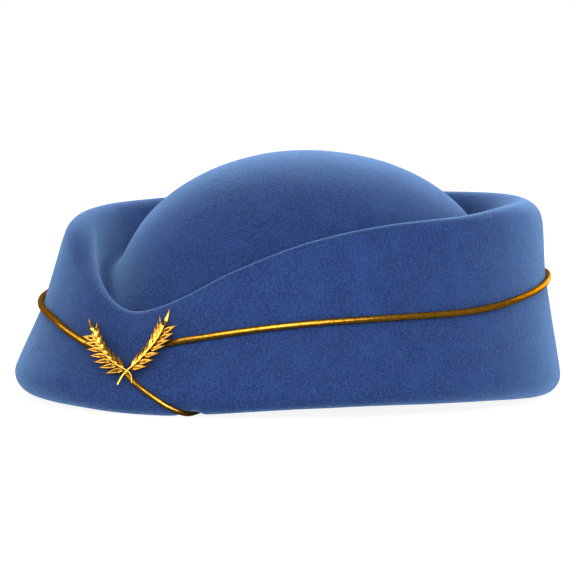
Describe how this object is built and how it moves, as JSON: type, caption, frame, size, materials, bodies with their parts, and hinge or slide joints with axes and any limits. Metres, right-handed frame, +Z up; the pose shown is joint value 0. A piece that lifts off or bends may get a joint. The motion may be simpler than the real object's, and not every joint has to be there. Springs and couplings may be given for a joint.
{
  "type": "flight attendant hat",
  "caption": "Moulded blue felt cabin crew hat with a round crown, a folded brim dipping at the front, a thin gold cord and a gilt wheat badge.",
  "frame": {"origin": "on the floor, under the middle of the hat's box; the hat rests on its lower edge as it would by itself", "axes": "-Y is the front, where the badge is and the fold dips, +X is the wearer's left side, where the fold is crisp, +Z is up"},
  "size_m": [0.1718, 0.2042, 0.0819],
  "materials": {
    "blue_felt": "matt, brushed",
    "gold_cord": "wound, glossy",
    "gilt_brass": "polished",
    "steel": "plain"
  },
  "bodies": {
    "root": {"felt_body": "blue_felt", "trim_cord": "gold_cord", "wheat_badge": "gilt_brass", "badge_post": "steel"}
  },
  "joints": []
}
